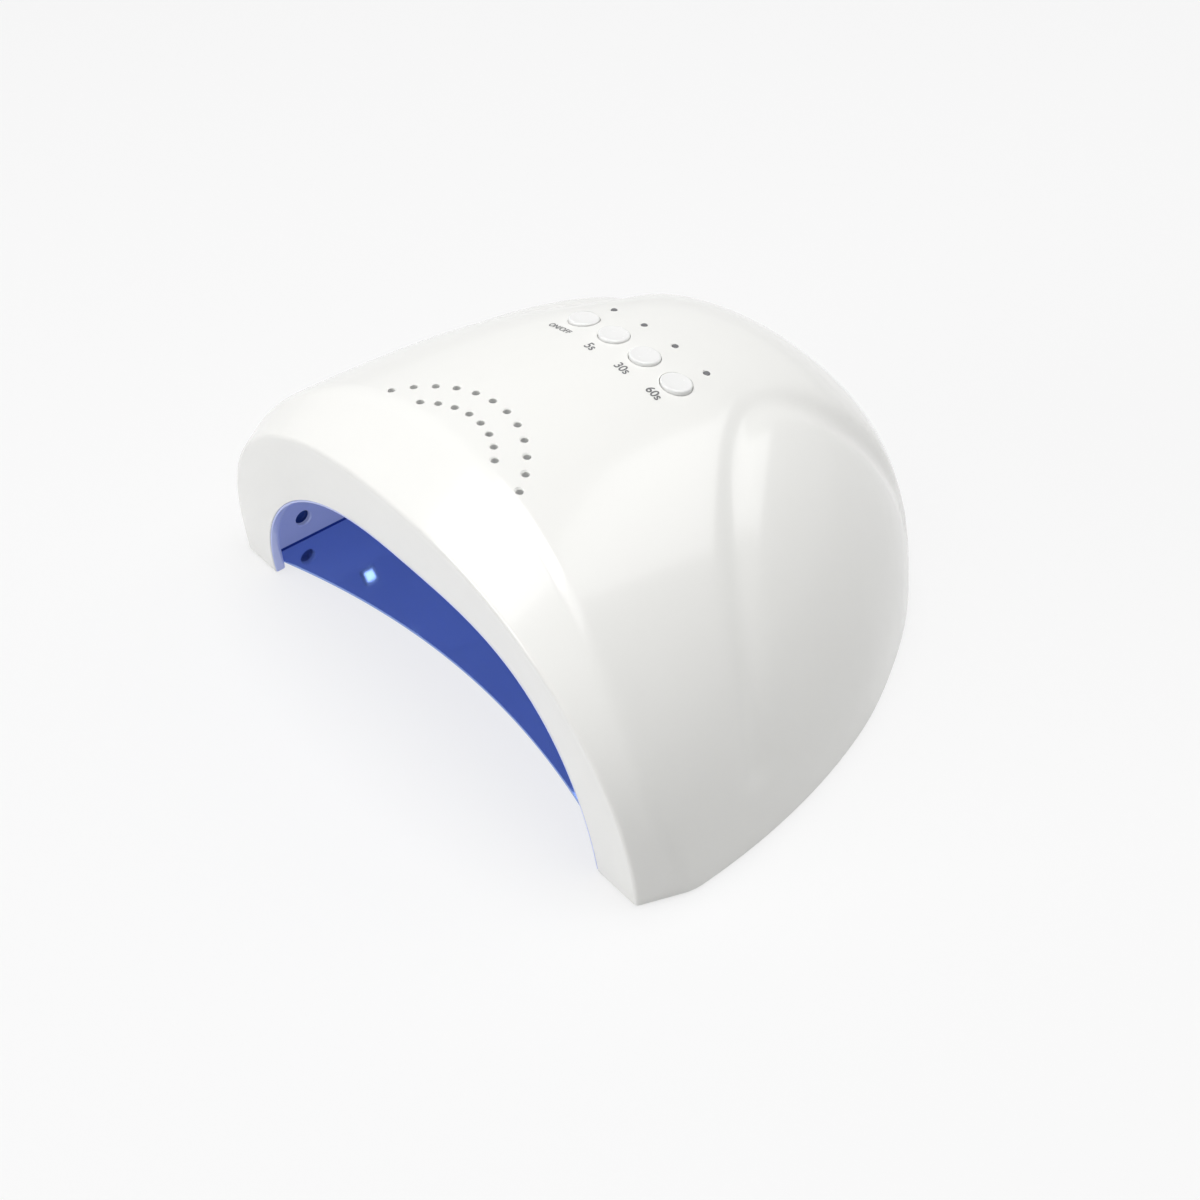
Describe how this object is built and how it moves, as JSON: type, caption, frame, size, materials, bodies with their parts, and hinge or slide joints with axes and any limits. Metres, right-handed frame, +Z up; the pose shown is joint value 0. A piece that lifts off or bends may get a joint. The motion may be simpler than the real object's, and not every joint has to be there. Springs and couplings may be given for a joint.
{
  "type": "led nail lamp",
  "caption": "Domed tabletop lamp for curing gel nail polish: white shell over a blue LED reflector, timer keys on the crown, and a removable floor plate under the hand.",
  "frame": {"origin": "centre of the footprint, on the table under the rubber feet", "axes": "+X to the right seen from the front, -Y out of the mouth for the hand, +Z up"},
  "size_m": [0.208, 0.1894, 0.1001],
  "materials": {
    "gloss_white": "gloss",
    "key_white": "semi gloss",
    "white_plastic": "satin",
    "reflector_blue": "metallised gloss",
    "plate_blue": "mirror-like gloss lacquer on sheet steel",
    "led_board": "white solder mask",
    "circuit_board": "green solder mask",
    "black_plastic": "satin",
    "switch_plunger": "satin",
    "smoked_clear": "clear, lightly smoked",
    "aluminium_can": "drawn",
    "copper_coil": "enamelled wire",
    "steel": "zinc plated",
    "magnet_nickel": "nickel plated",
    "rubber_grey": "matt",
    "lead_sheath": "matt"
  },
  "bodies": {
    "lamp_body": {"top_shell": "gloss_white", "reflector": "reflector_blue", "right_wall_front_leds": "led_board", "right_wall_rear_leds": "led_board", "right_slope_front_leds": "led_board", "right_slope_rear_leds": "led_board", "left_wall_front_leds": "led_board", "left_wall_rear_leds": "led_board", "left_slope_front_leds": "led_board", "left_slope_rear_leds": "led_board", "roof_leds": "led_board", "rear_leds": "led_board", "hand_sensor": "black_plastic", "power_switch": "black_plastic", "5s_switch": "black_plastic", "30s_switch": "black_plastic", "60s_switch": "black_plastic", "control_board": "circuit_board", "timer_chip": "black_plastic", "capacitor": "aluminium_can", "coil": "copper_coil", "lead_socket": "white_plastic", "light_pipe": "smoked_clear", "board_screw_1": "steel", "board_screw_2": "steel", "board_screw_3": "steel", "board_screw_4": "steel", "base_screw_1": "steel", "base_screw_2": "steel", "base_screw_3": "steel", "base_screw_4": "steel", "base_screw_5": "steel", "base_screw_6": "steel", "base_ring": "white_plastic", "magnet_1": "magnet_nickel", "magnet_2": "magnet_nickel", "magnet_3": "magnet_nickel", "magnet_4": "magnet_nickel", "rubber_foot_1": "rubber_grey", "rubber_foot_2": "rubber_grey", "rubber_foot_3": "rubber_grey", "rubber_foot_4": "rubber_grey", "dc_jack": "black_plastic", "jack_nut": "steel", "power_lead": "lead_sheath"},
    "power_key_body": {"power_key": "key_white", "power_plunger": "switch_plunger"},
    "5s_key_body": {"5s_key": "key_white", "5s_plunger": "switch_plunger"},
    "30s_key_body": {"30s_key": "key_white", "30s_plunger": "switch_plunger"},
    "60s_key_body": {"60s_key": "key_white", "60s_plunger": "switch_plunger"},
    "floor_plate_body": {"floor_plate": "plate_blue"}
  },
  "joints": [
    {"name": "power_key_press", "type": "slide", "parent": "lamp_body", "child": "power_key_body", "axis": [0, 0, -1], "range_m": [0, 0.0005], "stiffness_N_per_m": 2000, "springref_m": -0.0003},
    {"name": "5s_key_press", "type": "slide", "parent": "lamp_body", "child": "5s_key_body", "axis": [0, 0, -1], "range_m": [0, 0.0005], "stiffness_N_per_m": 2000, "springref_m": -0.0003},
    {"name": "30s_key_press", "type": "slide", "parent": "lamp_body", "child": "30s_key_body", "axis": [0, 0, -1], "range_m": [0, 0.0005], "stiffness_N_per_m": 2000, "springref_m": -0.0003},
    {"name": "60s_key_press", "type": "slide", "parent": "lamp_body", "child": "60s_key_body", "axis": [0, 0, -1], "range_m": [0, 0.0005], "stiffness_N_per_m": 2000, "springref_m": -0.0003},
    {"name": "floor_plate_off", "type": "slide", "parent": "lamp_body", "child": "floor_plate_body", "axis": [0, 0, -1], "range_m": [0, 0.03]}
  ]
}
